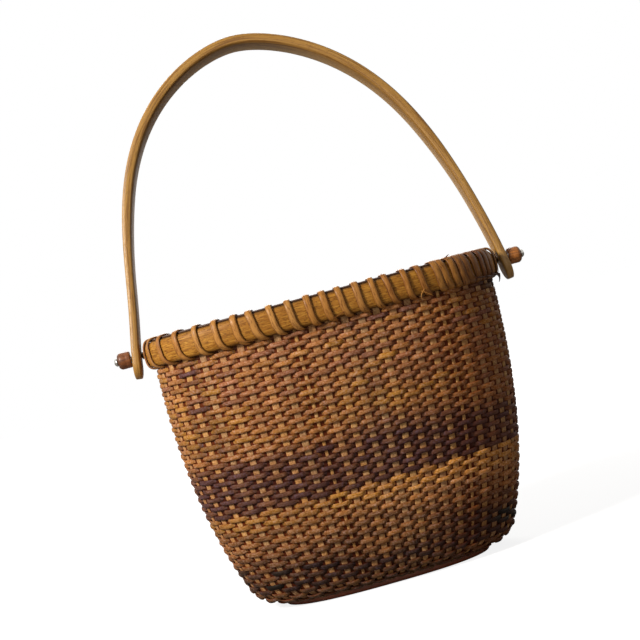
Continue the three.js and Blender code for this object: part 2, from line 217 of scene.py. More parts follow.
# Middle line of the wall, as half-length against height, from stave foot to stave top.
heel_start = (PLATE_HALF_LENGTH + FOOT_RUN, GROOVE_LEVEL)
heel_line = bezier([heel_start, (70.5, GROOVE_LEVEL), (74.6, 10.0), HEEL_TOP], 40)
side_line = bezier([HEEL_TOP, (93.0, 56.0), (96.4, 108.0), (RIM_HALF_LENGTH, WEAVE_TOP)], 120)
wall_line = np.concatenate(
    [
        [[PLATE_HALF_LENGTH - FOOT_DEPTH, GROOVE_LEVEL], [PLATE_HALF_LENGTH + 0.5, GROOVE_LEVEL]],
        heel_line,
        side_line[1:],
        [[RIM_HALF_LENGTH, height] for height in (148.0, 152.0, 156.0, STAVE_TOP)],
    ]
)
side_start = 1 + len(heel_line)
wall_half, wall_height = wall_line.T

# Climb is the way up the wall, in which the level run of the heel counts for less.
LEVEL_WEIGHT = 0.66
NEAR_CLIMB = 0.6
climb_steps = np.diff(wall_line, axis=0) * [LEVEL_WEIGHT, 1.0]
wall_climb = np.concatenate([[0], np.cumsum(np.hypot(climb_steps[:, 0], climb_steps[:, 1]))])
CLIMB_WEAVE = wall_climb[1]
CLIMB_RIM = float(np.interp(WEAVE_TOP, wall_height[side_start:], wall_climb[side_start:]))


def height_at(climb):
    return np.interp(climb, wall_climb, wall_height)


def half_length_at(climb):
    return np.interp(climb, wall_climb, wall_half)


def wall_lean(height):
    """How far to the right the wall has leaned at a height."""
    return WALL_LEAN_SHARE * (height - GROOVE_LEVEL)


def oval_point(place, half, height, out, offset):
    """Points in metres at an offset from the oval with a half-length at a height, as it leans."""
    level = np.zeros(place.shape[:-1]) + height
    middle = [half * place[..., 0] + wall_lean(height), half * place[..., 1], level]
    return (np.stack(middle, axis=-1) + out * np.asarray(offset)[..., None]) * MM


def wall_point(column, climb, offset):
    """Points of the wall in metres, with the ways along, up and square out of it."""
    place, way = oval_at(share_of_column(column))
    half, height = half_length_at(climb), height_at(climb)
    run = half_length_at(climb + NEAR_CLIMB) - half_length_at(climb - NEAR_CLIMB)
    rise = height_at(climb + NEAR_CLIMB) - height_at(climb - NEAR_CLIMB)
    up = of_length_one(
        np.stack([run * place[..., 0] + WALL_LEAN_SHARE * rise, run * place[..., 1], rise], axis=-1)
    )
    along = np.concatenate([way, np.zeros(way.shape[:-1] + (1,))], axis=-1)
    out = of_length_one(np.cross(along, up))
    return oval_point(place, half, height, out, offset), along, up, out


def rim_point(column, offset, height):
    """Points of the rim in metres, and the level way out: the offset is from the wall's middle."""
    place, way = oval_at(share_of_column(column))
    out = np.stack([way[..., 1], -way[..., 0], np.zeros(way.shape[:-1])], axis=-1)
    return oval_point(place, RIM_HALF_LENGTH, height, out, offset), out


def round_the_rim(rings, offset, height):
    """A level line right round the rim, with the ways up and out of it."""
    column = np.linspace(0, STAVES, rings + 1)
    middle, out = rim_point(column, offset + 0 * column, height)
    return middle, np.zeros_like(out) + [0, 0, 1], out


# Making pieces.


def shares(**dyes):
    """How far each dye has taken, kept from 0 to 1."""
    return {label: np.clip(share, 0, 1) for label, share in dyes.items()}


def flat_grid(columns, rows, half_size=0.5):
    bm = bmesh.new()
    bmesh.ops.create_grid(bm, x_segments=columns, y_segments=rows, size=half_size)
    return bm


def mesh_of(bm):
    mesh = bpy.data.meshes.new("piece")
    bm.to_mesh(mesh)
    bm.free()
    return mesh


def points_of(mesh):
    flat = np.empty(len(mesh.vertices) * 3)
    mesh.vertices.foreach_get("co", flat)
    return flat.reshape(-1, 3)


def hold(mesh, label, values):
    """Keeps a value for each point of a mesh, which its finish reads."""
    layer = mesh.attributes.new(label, "FLOAT", "POINT")
    layer.data.foreach_set("value", values.astype(np.float32))


def placed(name, data):
    """An object of the scene, which shares its name with its data."""
    data.name = name
    obj = bpy.data.objects.new(name, data)
    bpy.context.scene.collection.objects.link(obj)
    return obj


def piece(name, mesh, body, slot, finish, *nodes):
    """A finished piece: its place is in its mesh, and it rides on a body of the frame."""
    obj = placed(name, mesh)
    mesh.materials.append(finish)
    mesh.polygons.foreach_set("use_smooth", np.ones(len(mesh.polygons), bool))
    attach(obj, body)
    if nodes:
        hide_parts(*nodes)


def rolled_strip(centre, across, out, outline, looped=False, **stains):
    """A flat grid rolled into a strip with the given outline round each point of its middle line.

    outline is (points, 2), or (rings, points, 2) where it changes along the strip: distances
    across the strip and out of it, in metres. A stain is one value, or one for each ring, or
    (rings, points) of them. The UV map runs along the strip and round it, in centimetres.
    """
    rings, points = len(centre), outline.shape[-2]
    outline = np.broadcast_to(outline, (rings, points, 2))
    mesh = mesh_of(flat_grid(rings - 1, points))
    flat = points_of(mesh)
    ring = np.rint((flat[:, 0] + 0.5) * (rings - 1)).astype(int)
    spot = np.rint((flat[:, 1] + 0.5) * points).astype(int)
    wrapped = spot % points
    place = (
        centre[ring]
        + across[ring] * outline[ring, wrapped, 0][:, None]
        + out[ring] * outline[ring, wrapped, 1][:, None]
    )
    mesh.vertices.foreach_set("co", place.ravel())
    for label, value in stains.items():
        value = value[:, None] if np.ndim(value) == 1 else value
        hold(mesh, label, np.broadcast_to(value, (rings, points))[ring, wrapped])
    run = np.concatenate([[0], np.cumsum(np.linalg.norm(np.diff(centre, axis=0), axis=1))]) * 100
    corners = np.roll(outline, -1, axis=1) - outline
    girth = np.linalg.norm(corners, axis=2).mean(axis=0)
    girth_run = np.concatenate([[0], np.cumsum(girth)]) * 100
    loops = np.empty(len(mesh.loops), int)
    mesh.loops.foreach_get("vertex_index", loops)
    layer = mesh.uv_layers.new(name="strip")
    layer.data.foreach_set(
        "uv", np.stack([run[ring[loops]], girth_run[spot[loops]]], axis=1).ravel()
    )
    bm = bmesh.new()
    bm.from_mesh(mesh)
    bmesh.ops.remove_doubles(bm, verts=bm.verts, dist=1e-7)
    if not looped:
        rims = [e for e in bm.edges if e.is_boundary]
        bmesh.ops.holes_fill(bm, edges=rims, sides=0)
    bmesh.ops.recalc_face_normals(bm, faces=bm.faces)
    bm.to_mesh(mesh)
    bm.free()
    return mesh


def turned(profile, end, turns):
    """A profile of (radius, distance from the middle of the basket) spun about the pin line."""
    bm = bmesh.new()
    line = [bm.verts.new((end * along * MM, 0, radius * MM)) for radius, along in profile]
    edges = [bm.edges.new(pair) for pair in zip(line, line[1:])]
    bmesh.ops.spin(
        bm, geom=line + edges, cent=(0, 0, 0), axis=(1, 0, 0), angle=2 * math.pi,
        steps=turns, use_merge=True, use_duplicate=False,
    )
    bmesh.ops.remove_doubles(bm, verts=bm.verts, dist=1e-6)
    bmesh.ops.recalc_face_normals(bm, faces=bm.faces)
    bmesh.ops.translate(bm, verts=bm.verts, vec=(PIVOT_LEAN * MM, 0, PIVOT_HEIGHT * MM))
    return mesh_of(bm)


def oval_outline(points, power, wide=1.0, deep=1.0):
    """Closed outline of a strip: across -wide..wide, out -deep..deep, starting at the back."""
    angle = -np.pi / 2 + np.linspace(0, 2 * np.pi, points, endpoint=False)
    return np.stack(
        [wide * squared(np.cos(angle), power), deep * squared(np.sin(angle), power)], axis=1
    )


def sized(unit, wide, deep):
    """The unit outline scaled at each ring to its half width, and to its depth."""
    return np.stack(np.broadcast_arrays(wide[:, None] * unit[:, 0], deep * unit[:, 1]), axis=-1)


# Finishes.


def linear(code):
    """Linear colour from a six-digit dye code."""
    parts = [int(code[i : i + 2], 16) / 255 for i in (0, 2, 4)]
    return tuple(c / 12.92 if c <= 0.04045 else ((c + 0.055) / 1.055) ** 2.4 for c in parts) + (1,)


def new_node(tree, kind, inputs=None, **settings):
    made = tree.nodes.new(kind)
    for label, value in settings.items():
        setattr(made, label, value)
    for label, value in (inputs or {}).items():
        made.inputs[label].default_value = value
    return made


class Finish:
    """A material built up in coats, each mixed over the last."""

    def __init__(self, name, ground, roughness):
        self.material = bpy.data.materials.new(name)
        self.material.use_nodes = True
        self.tree = self.material.node_tree
        self.surface = self.tree.nodes["Principled BSDF"]
        self.surface.inputs["Roughness"].default_value = roughness
        self.colour = None
        self.ground = linear(ground)

    def join(self, source, socket):
        self.tree.links.new(source, socket)

    def value(self, name):
        """A value that the mesh holds."""
        return new_node(self.tree, "ShaderNodeAttribute", attribute_name=name).outputs["Fac"]

    def scaled(self, source, scale, shift=0.0):
        inputs = {"Scale": scale, "Location": (shift, shift, 0)}
        turn = new_node(self.tree, "ShaderNodeMapping", inputs)
        self.join(source, turn.inputs["Vector"])
        return turn.outputs[0]

    def strip_way(self, along, around, shift=0.0):
        """Coordinates that follow the strip, scaled along it and round it."""
        uv = new_node(self.tree, "ShaderNodeUVMap", uv_map="strip")
        return self.scaled(uv.outputs[0], (along, around, 1), shift)

    def place_way(self, x, y, z):
        """Coordinates in the frame, scaled along each way."""
        where = new_node(self.tree, "ShaderNodeTexCoord")
        return self.scaled(where.outputs["Object"], (x, y, z))

    def grain(self, way, detail=4.0, rough=0.6, bend=0.0):
        inputs = {"Scale": 1.0, "Detail": detail, "Roughness": rough, "Distortion": bend}
        tex = new_node(self.tree, "ShaderNodeTexNoise", inputs)
        self.join(way, tex.inputs["Vector"])
        return tex.outputs["Fac"]

    def between(self, value, low, high, out_low, out_high):
        """The value stretched from low..high to out_low..out_high and clamped."""
        inputs = {"From Min": low, "From Max": high, "To Min": out_low, "To Max": out_high}
        band = new_node(self.tree, "ShaderNodeMapRange", inputs, interpolation_type="SMOOTHSTEP")
        self.join(value, band.inputs["Value"])
        return band.outputs[0]

    def times(self, a, b):
        maths = new_node(self.tree, "ShaderNodeMath", operation="MULTIPLY")
        self.join(a, maths.inputs[0])
        self.join(b, maths.inputs[1])
        return maths.outputs[0]

    def coat(self, share, dye, way="MIX"):
        """Mixes a dye over the colour so far by a share that varies over the surface."""
        mix = new_node(self.tree, "ShaderNodeMix", data_type="RGBA", blend_type=way)
        under, over = mix.inputs[6], mix.inputs[7]
        if self.colour is None:
            under.default_value = self.ground
        else:
            self.join(self.colour, under)
        over.default_value = linear(dye)
        self.join(share, mix.inputs[0])
        self.colour = mix.outputs[2]

    def held_coats(self, **dyes):
        """Coats by the values that the mesh holds."""
        for label, dye in dyes.items():
            self.coat(self.value(label), dye)

    def veins(self, grain, start, full, share, dye):
        """Coats where the grain lies past start, and by the whole share from full on."""
        self.coat(self.between(grain, start, full, 0.0, share), dye)

    def speckle(self, dark_share, dark, light_share, light):
        dots = self.grain(self.place_way(900, 900, 900), 2.0, 0.7)
        self.veins(dots, 0.52, 0.68, dark_share, dark)
        self.veins(dots, 0.48, 0.34, light_share, light)

    def lighten(self, value):
        """Scales how light the colour is by a value round 1."""
        shade = new_node(self.tree, "ShaderNodeHueSaturation")
        self.join(self.colour, shade.inputs["Color"])
        self.join(value, shade.inputs["Value"])
        self.colour = shade.outputs["Color"]

    def shine(self, grain, smooth, dull, specular=None):
        """Roughness from smooth to dull by the grain, and how strong the shine is."""
        self.join(self.between(grain, 0.2, 0.8, smooth, dull), self.surface.inputs["Roughness"])
        if specular is not None:
            self.surface.inputs["Specular IOR Level"].default_value = specular

    def done(self, grain, depth, strength):
        """Raises the grain, joins the colour and gives the material."""
        bump = new_node(self.tree, "ShaderNodeBump", {"Strength": strength, "Distance": depth})
        self.join(grain, bump.inputs["Height"])
        self.join(bump.outputs[0], self.surface.inputs["Normal"])
        self.join(self.colour, self.surface.inputs["Base Color"])
        return self.material


def make_weaver_cane():
    f = Finish("weaver_cane_dyed", "B2753C", 0.6)
    f.held_coats(blush="A36846", honey="BE8630", olive="4A3A1E")
    fibres = f.grain(f.strip_way(2.6, 13.0), rough=0.8)
    f.veins(fibres, 0.48, 0.66, 0.6, "6C3810")
    f.veins(fibres, 0.5, 0.3, 0.45, "DDB28E")
    f.speckle(0.5, "5C2F0C", 0.45, "DAB298")
    # The held tone is random tone, and on the wall it also carries painted shade low down and at
    # the right-hand end.
    f.lighten(f.value("tone"))
    # Painted shade: crevices, strand edges and the side away from the light are coated dark, and
    # darker still where the cane is dyed dark.
    groove, smoke = f.value("groove"), f.value("smoke")
    f.coat(groove, "863A07")
    f.coat(smoke, "8487BE", "MULTIPLY")
    f.coat(f.times(groove, smoke), "3E1507")
    f.held_coats(soot="170F08")
    f.shine(fibres, 0.45, 0.68, specular=0.12)
    return f.done(fibres, 0.0003, 0.8)


def make_stave_wood():
    f = Finish("stave_split_wood", "B08860", 0.55)
    f.held_coats(honey="C08A3A", blush="A8704A", smoke="6A442A")
    fibres = f.grain(f.strip_way(0.8, 34.0), rough=0.7)
    f.veins(fibres, 0.5, 0.75, 0.5, "6B431E")
    f.lighten(f.value("tone"))
    f.speckle(0.55, "6A3A16", 0.4, "DDB88C")
    f.shine(fibres, 0.42, 0.62, specular=0.15)
    return f.done(fibres, 0.00012, 0.6)


def make_hoop_wood():
    f = Finish("hoop_rattan", "A67028", 0.5)
    streaks = f.grain(f.strip_way(0.5, 9.0), bend=0.3)
    f.veins(streaks, 0.42, 0.68, 0.6, "875013")
    lines = f.grain(f.strip_way(1.1, 10.0, 3.0), 3.0, 0.8, 0.4)
    f.veins(lines, 0.5, 0.6, 0.75, "6E4008")
    dashes = f.grain(f.strip_way(4.0, 15.0, 7.0), 2.0, 0.7)
    f.veins(dashes, 0.55, 0.64, 0.8, "532C05")
    pale = f.grain(f.strip_way(1.6, 15.0, 11.0), 3.0)
    f.veins(pale, 0.5, 0.66, 0.7, "C8923C")
    blotch = f.grain(f.place_way(28, 28, 60), 3.0, 0.5)
    f.veins(blotch, 0.45, 0.75, 0.3, "87500F")
    # painted shade along the hoop's upper and lower edges
    f.held_coats(groove="35200D")
    f.shine(lines, 0.4, 0.6, specular=0.18)
    return f.done(lines, 0.0002, 0.7)


def make_bow_wood():
    f = Finish("bow_bent_wood", "AB7F3B", 0.48)
    broad = f.grain(f.strip_way(0.16, 3.0), 3.0, 0.55, 0.6)
    f.veins(broad, 0.42, 0.66, 0.6, "946722")
    rings = f.grain(f.strip_way(0.3, 12.0, 5.0), 4.0, 0.65, 0.4)
    f.veins(rings, 0.49, 0.6, 0.8, "6F4510")
    pores = f.grain(f.strip_way(2.6, 20.0, 9.0), 3.0, 0.75)
    f.veins(pores, 0.54, 0.66, 0.6, "5A3A12")
    # painted light on the back of the inner face and the right leg's end, paler outer edges, and
    # painted shade along the inner face
    f.held_coats(worn="C8A068", inside="603A0C")
    f.shine(pores, 0.32, 0.48, specular=0.4)
    return f.done(pores, 0.00016, 0.6)


def make_lashing_cane():
    f = Finish("lashing_binding_cane", "AB7231", 0.45)
    f.held_coats(honey="B98444", smoke="6E3408")
    fibres = f.grain(f.strip_way(1.8, 11.0), 3.0, 0.8)
    f.veins(fibres, 0.5, 0.64, 0.8, "5E310A")
    f.veins(fibres, 0.48, 0.32, 0.5, "C98F4C")
    # painted shade along the edges of each loop
    f.held_coats(edge="451E08")
    f.lighten(f.value("tone"))
    f.shine(fibres, 0.34, 0.5, specular=0.22)
    return f.done(fibres, 0.00015, 0.6)


def make_cap_reed():
    f = Finish("cap_dark_reed", "4B2E1B", 0.6)
    fibres = f.grain(f.strip_way(1.4, 30.0), 3.0, 0.65)
    f.veins(fibres, 0.4, 0.7, 0.7, "2B190E")
    f.veins(fibres, 0.42, 0.25, 0.5, "7E5430")
    f.shine(fibres, 0.5, 0.7)
    return f.done(fibres, 0.0001, 0.6)


def make_base_wood():
    f = Finish("base_turned_wood", "8C4526", 0.45)
    grain = f.grain(f.place_way(18, 420, 420), bend=0.4)
    f.veins(grain, 0.42, 0.68, 0.7, "5C2A12")
    pores = f.grain(f.place_way(60, 1500, 1500), 3.0)
    f.veins(pores, 0.56, 0.7, 0.6, "3C1A0B")
    f.veins(grain, 0.4, 0.25, 0.4, "A65E38")
    f.shine(pores, 0.36, 0.52)
    return f.done(pores, 0.00008, 0.5)


def make_knob_wood(name, ground, dark, light):
    f = Finish(name, ground, 0.36)
    grain = f.grain(f.place_way(120, 900, 900), bend=0.5)
    f.veins(grain, 0.42, 0.66, 0.75, dark)
    f.veins(grain, 0.4, 0.28, 0.5, light)
    # painted shade on the knob's outer end
    f.held_coats(worn_end=dark)
    f.shine(grain, 0.36, 0.52, specular=0.4)
    return f.done(grain, 0.00008, 0.5)


def make_pin_metal():
    f = Finish("pin_steel", "C9C6BE", 0.24)
    scuffs = f.grain(f.place_way(900, 900, 900), 3.0)
    f.veins(scuffs, 0.45, 0.7, 0.5, "8B877E")
    f.surface.inputs["Metallic"].default_value = 1.0
    f.shine(scuffs, 0.16, 0.38)
    return f.done(scuffs, 0.00003, 0.4)


weaver_cane = make_weaver_cane()
stave_wood = make_stave_wood()
hoop_wood = make_hoop_wood()
bow_wood = make_bow_wood()
lashing_cane = make_lashing_cane()
cap_reed = make_cap_reed()
base_wood = make_base_wood()
pin_metal = make_pin_metal()


# Woven wall.

PLAIN_ROWS = 56
ROW_PITCH = (CLIMB_RIM - CLIMB_WEAVE) / (PLAIN_ROWS + 1)
FINE_COLUMNS = 6 * STAVES
BORDER_CLIMB = 2.5
SHADE_SHEET_THICKNESS = 0.15
WEAVER_LENGTHS = 6
# points of the strand from one gap between staves to the next, closer where it dives
STEPS = np.array([0.0, 0.07, 0.17, 0.3, 0.5, 0.7, 0.83, 0.93])
SECTION = 9
FLOAT_LIFT = 1.24
GAP_STAND_OUT = 0.42
FLOAT_OUTER_DEPTH, FLOAT_INNER_DEPTH = 0.62, 0.44

# Heights of the coloured bands. The lower edge of the dark one is sharp.
GOLD_EDGE, DARK_EDGE = 57.0, 57.8
DARK_TOP = 84


def climb_of(rows, column):
    """Climb of the middle of the weaver at a count of rows, with the rows' slow unevenness."""
    plain = CLIMB_WEAVE + ROW_PITCH * (rows + 1.0)
    free = ease(rows, 0, 5) * ease(PLAIN_ROWS - rows, 0, 4)
    sway = 0.36 * patches(column, rows * 0.5, 5, 14.0) + 0.1 * patches(column, rows, 6, 4.0)
    return plain + free * sway


def wall_stains(column, height, row, grip):
    """How far each dye has taken at a place of the wall, for the weaver, with a painted shadow
    under the rim's right-hand end laid on as smoke and soot.

    grip holds three random numbers for each float, so that neighbours differ.
    """
    slow = patches(column, row * 0.45, 11, 16.0)
    quick = patches(column, row * 1.6, 12, 6.0)
    line = drift(row * STAVES + column, 13, 61.0)
    short = drift(row * STAVES + column, 14, 7.0) + 0.5 * grip[0]
    facing = facing_front(column)
    band_top = DARK_TOP + 4.5 * slow + 3.5 * line + 1.5 * grip[1]
    band = belt(height, GOLD_EDGE, DARK_EDGE, band_top - 10, band_top + 8)
    blotches = (
        ease(height, 9, 14)
        * ease_off(height, 22 + 3 * slow, 33 + 3 * slow)
        * (0.84 + 0.3 * slow + 0.4 * quick + 0.22 * short + 0.4 * facing)
    )
    mixed = belt(height, 24, 32, 42, 49) * (
        0.2 + 0.22 * line + 0.16 * short + 0.2 * quick + 0.22 * facing
    )
    upright = drift(column, 15, 8.0) + 0.4 * slow
    # painted shadow under the rim at its right-hand end, laid on as smoke and soot
    rim_end_shadow = ease(height, 137, 143) * ease(by_right_end(column), 0.7, 0.97)
    upper = ease(height, 84, 96)
    streaks = (
        0.45 * upper * ease(upright, 0.1, 1.1)
        + 0.8 * rim_end_shadow
        + upper * (0.12 + 0.55 * ease(line + 0.55 * quick + 0.35 * grip[0], 0.3, 1.5))
        + 0.45 * ease(height, 126, 140) * ease(line + slow + 0.3 * grip[0], -0.4, 1.2)
    )
    low = 0.6 * ease_off(height, 10, 20) * (0.85 + 0.3 * short + 0.3 * facing)
    smoke = (
        band * (0.84 + 0.2 * short + 0.14 * slow + 0.12 * grip[2])
        + 0.7 * (blotches + mixed)
        + 0.8 * streaks
        + low
    )
    honey = (
        belt(height, 45, 49, GOLD_EDGE, DARK_EDGE) * (0.5 + 0.25 * short)
        + ease(height, 88, 100) * ease(slow - 0.5 * line + 0.55 * grip[1], -0.7, 0.9) * 0.85
        + 0.35 * ease_off(height, 14, 22)
    )
    blush = (
        ease(height, 88, 130) * (0.3 + 0.3 * line + 0.3 * grip[2])
        + 0.35 * ease(quick + 0.4 * grip[2], 0.0, 1.2)
        + 0.35 * band
    )
    corner = 0.2 + 0.8 * ease(0.75 - facing, 0.0, 0.5)
    soot = 0.9 * corner * blotches * ease(slow + 0.7 * quick + 0.25 * grip[0], -0.4, 1.0)
    olive = (
        0.6 * ease_off(height, 5, 9)
        + 0.3 * ease_off(height, 12, 18)
        + 0.5 * np.clip(blotches, 0, 1)
        + 0.4 * np.clip(mixed, 0, 1)
        + belt(height, 16, 22, 42, 56) * (0.18 + 0.12 * quick)
    )
    # painted shadow under the rim's right-hand end
    soot = soot + 0.5 * rim_end_shadow
    return shares(smoke=smoke, honey=honey, blush=blush, soot=soot, olive=olive)


def wall_tone_and_shade(column, height, count, lift, grip):
    """How light the weaver is, about 1: random tone from float to float and along the strand, a
    little darker below the upper rows, and lighter in the gold band, more so towards the right.
    Painted shade darkens the wall low down where it turns under, most at the front, and at the
    right-hand end, away from the light.
    """
    gold = belt(height, 32, 46, GOLD_EDGE, DARK_EDGE)
    low_shade = belt(height, 7, 11, 18, 38)
    shade = 1 - 0.14 * ease_off(height, 110, 135) + gold * (0.12 + 0.36 * facing_right(column))
    # painted shade low on the wall, where it turns under away from the light
    shade = shade * (1 - 0.18 * low_shade * (1 + facing_front(column)))
    # painted shade at the right-hand end, away from the light
    shade = shade * (1 - 0.4 * ease(by_right_end(column), 0.86, 0.995))
    return shade * (1.0 + 0.19 * grip[0] * lift + 0.1 * drift(count, 21, 23.0))


def wall_groove(column, height, wave, unit):
    """Painted shade on each outline point of the weaver, 0 to 0.95: by how deep it lies between its
    neighbours where the strand dives, at the gaps, at the strand's edges and towards the right-hand
    side, away from the light; less in the gold band.
    """
    lift = np.abs(wave)
    gold = belt(height, 32, 46, GOLD_EDGE, DARK_EDGE)
    edge = np.abs(unit[:, 0]) ** 3
    facing_in = unit[:, 1][None, :] * wave[:, None] < 0
    tucked = np.where(facing_in, ease(lift, 0.5, 0.95)[:, None], 0)
    return (1 - 0.45 * gold[:, None]) * np.clip(
        0.9 * tucked
        + 0.06 * ease_off(lift, 0.1, 0.6)[:, None]
        + 0.4 * edge[None, :]
        + 0.22 * ease(facing_right(column), 0.1, 0.9)[:, None],
        0,
        0.95,
    )


def weaver_length(number, first, last, *nodes):
    """A length of the weaver, from one crossing to another, out and in past each stave."""
    count = (np.arange(first, last)[:, None] + STEPS[None, :]).ravel()
    count = np.append(count, last)
    rows, column = count / STAVES, np.mod(count, STAVES)
    wave = np.sin(np.pi * count)
    lift = np.abs(wave)
    plain_climb = climb_of(rows, column)
    height = height_at(plain_climb)
    grip = float_tones[:, np.floor(count).astype(int)]
    stray = (0.1 * grip[2] + 0.12 * grip[1] * np.cos(np.pi * np.mod(count, 1))) * lift
    side = np.sign(wave) * lift**0.6
    # between staves the strands stand out a little before they dive behind the next one
    offset = side * (FLOAT_LIFT + 0.08 * grip[0] * lift) + GAP_STAND_OUT * (1 - lift**2) ** 2
    middle, _, up, _ = wall_point(column, plain_climb + stray, offset)
    across, face = laid_flat(middle, up)
    above = climb_of(rows + 1, column) - plain_climb
    below = plain_climb - climb_of(rows - 1, column)
    wide = np.maximum(above, below) * MM * (0.53 - 0.035 * lift**2 + 0.035 * grip[1] * lift)
    unit = oval_outline(SECTION, 2.3)
    depth = np.where(unit[:, 1] > 0, FLOAT_OUTER_DEPTH, FLOAT_INNER_DEPTH) * MM
    outline = sized(unit, wide, depth * (0.9 + 0.2 * lift[:, None]))
    stains = wall_stains(column, height, rows, grip)
    stains["tone"] = wall_tone_and_shade(column, height, count, lift, grip)
    stains["groove"] = wall_groove(column, height, wave, unit)
    mesh = rolled_strip(middle, across, face, outline, **stains)
    piece(f"weaver_length_{number}", mesh, "basket", "weaver_cane", weaver_cane, *nodes)


float_tones = np.clip(rng.normal(0, 1, (3, (PLAIN_ROWS + 2) * STAVES)), -2, 2)
cuts = np.linspace(0, PLAIN_ROWS * STAVES, WEAVER_LENGTHS + 1).astype(int)
weaver_length(1, cuts[0], cuts[1], "weave_outer", "weave_inner")
for number in range(2, WEAVER_LENGTHS + 1):
    weaver_length(number, cuts[number - 1], cuts[number])


def weave_gap_shade_sheet():
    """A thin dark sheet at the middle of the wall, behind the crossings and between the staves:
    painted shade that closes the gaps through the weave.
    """
    bm = flat_grid(FINE_COLUMNS, 64)
    flat = np.array([vert.co[:] for vert in bm.verts]) + 0.5
    start = CLIMB_WEAVE + BORDER_CLIMB
    climb = start + flat[:, 1] * (CLIMB_RIM - start)
    for vert, place in zip(bm.verts, wall_point(flat[:, 0] * STAVES, climb, 0 * climb)[0]):
        vert.co = place
    bmesh.ops.remove_doubles(bm, verts=bm.verts, dist=1e-6)
    bmesh.ops.recalc_face_normals(bm, faces=bm.faces)
    bmesh.ops.solidify(bm, geom=bm.faces, thickness=SHADE_SHEET_THICKNESS * MM)
    mesh = mesh_of(bm)
    height = points_of(mesh)[:, 2] / MM
    smoke = 0.45 + 0.5 * belt(height, 55, 58, 78, 90) + 0.3 * ease_off(height, 25, 45)
    for label, share in shares(groove=np.ones(len(height)), smoke=smoke).items():
        hold(mesh, label, share)
    piece("weave_gap_shade_sheet", mesh, "basket", "weaver_cane", weaver_cane)


def border_cane(ply):
    """One of two canes that turn round each other between the staves, over the base plate."""
    column = np.linspace(0, STAVES + 1, (STAVES + 1) * 8 + 1)
    turn = np.pi * (column + ply)
    climb = CLIMB_WEAVE + 0.15 + 0.95 * (1 + 0.55 * np.cos(turn))
    middle, _, up, _ = wall_point(column, climb, 1.0 * np.sin(turn) + 0.35)
    across, face = laid_flat(middle, up)
    outline = oval_outline(SECTION, 2.2, 1.15 * MM, 0.62 * MM)
    stains = {"smoke": 0.25, "honey": 0.1, "olive": 0.85}
    stains["tone"] = 1.0 + 0.12 * drift(column, 31 + ply, 9.0)
    # painted shade where the cane turns in behind the other
    stains["groove"] = 0.35 * ease_off(np.sin(turn), -0.6, 0.6)
    mesh = rolled_strip(middle, across, face, outline, **stains)
    piece(f"border_cane_{ply + 1}", mesh, "basket", "weaver_cane", weaver_cane)


weave_gap_shade_sheet()
border_cane(0)
border_cane(1)


# Staves. A few are split finer than the rest.

NARROW_STAVES = (10, 15, 31, 40)


def stave(number):
    climb = np.concatenate([np.linspace(0.2, 24, 18), np.linspace(28, wall_climb[-1] - 0.1, 34)])
    middle, along, _, out = wall_point(np.full(len(climb), number + 0.5), climb, 0 * climb)
    share = np.linspace(0, 1, len(climb))
    wide = (STAVE_FOOT_WIDTH + (STAVE_TOP_WIDTH - STAVE_FOOT_WIDTH) * share) / 2 * MM
    narrowed = 0.5 if number in NARROW_STAVES else 1.0
    wide = wide * narrowed * (1 + 0.05 * drift(climb, 400 + number, 40.0))
    outline = sized(oval_outline(12, 5.0), wide, STAVE_THICKNESS / 2 * MM)
    height = middle[:, 2] / MM
    hue = rng.uniform(-1, 1, 3)
    band = belt(height, 57, 60, 76, 88)
    stains = shares(
        honey=0.35 + 0.3 * hue[0] + 0.2 * drift(climb, 500 + number, 30.0),
        blush=0.25 + 0.3 * hue[1] + 0.2 * drift(climb, 600 + number, 45.0),
        smoke=0.08 + 0.15 * hue[2] + 0.15 * band + 0.45 * ease_off(height, 20, 40),
    )
    stains["tone"] = 1.02 + 0.14 * hue[0] + 0.08 * drift(climb, 700 + number, 12.0)
    node = f"stave_{number + 1:02d}"
    mesh = rolled_strip(middle, along, out, outline, **stains)
    piece(node + "_split", mesh, "basket", "stave_wood", stave_wood, node)


for number in range(STAVES):
    stave(number)


# Rim.

RIM_RINGS = 376


def weaver_last_turn():
    """The weaver's last turn, which tucks up between the hoops, in line with the staves, coloured
    dark all over as painted shade under the hoops.
    """
    middle, up, out = round_the_rim(FINE_COLUMNS, 0, WEAVE_TOP + 0.9)
    outline = oval_outline(8, 2.5, 1.5 * MM, 0.4 * MM)
    mesh = rolled_strip(middle, up, out, outline, looped=True, smoke=0.75, tone=0.8, groove=0.6)
    piece("weaver_last_turn", mesh, "basket", "weaver_cane", weaver_cane)


def hoop(name, near, depth, node):
    """A half-round hoop, flat against the staves."""
    middle, up, out = round_the_rim(RIM_RINGS, near, HOOP_MIDDLE)
    reach = np.linspace(-np.pi / 2, np.pi / 2, 21)
    bulge = squared(np.cos(reach), HOOP_POWER) * depth
    rise = squared(np.sin(reach), HOOP_POWER) * HOOP_HEIGHT / 2
    back = np.stack([np.linspace(HOOP_HEIGHT / 2, -HOOP_HEIGHT / 2, 6)[1:-1], np.zeros(4)], axis=1)
    unit = np.concatenate([np.stack([rise, bulge], axis=1), back]) * MM
    # the seam of the UV map lies at the middle of the flat back
    unit = np.roll(unit, 2, axis=0)
    # painted shade along the upper and lower edges, where the hoop meets the wall and cap
    groove = np.clip(1.3 * (np.abs(unit[:, 0]) / (HOOP_HEIGHT / 2 * MM)) ** 6 - 0.3, 0, 0.75)
    mesh = rolled_strip(middle, up, out, unit, looped=True, groove=groove[None])
    piece(name, mesh, "basket", "hoop_wood", hoop_wood, node)


def rim_cap():
    middle, up, out = round_the_rim(RIM_RINGS, 0, HOOP_TOP + 0.45)
    outline = oval_outline(14, 3.0, 2.3 * MM, 0.62 * MM)
    mesh = rolled_strip(middle, out, up, outline, looped=True)
    piece("rim_cap_reed", mesh, "basket", "cap_reed", cap_reed, "rim_cap")


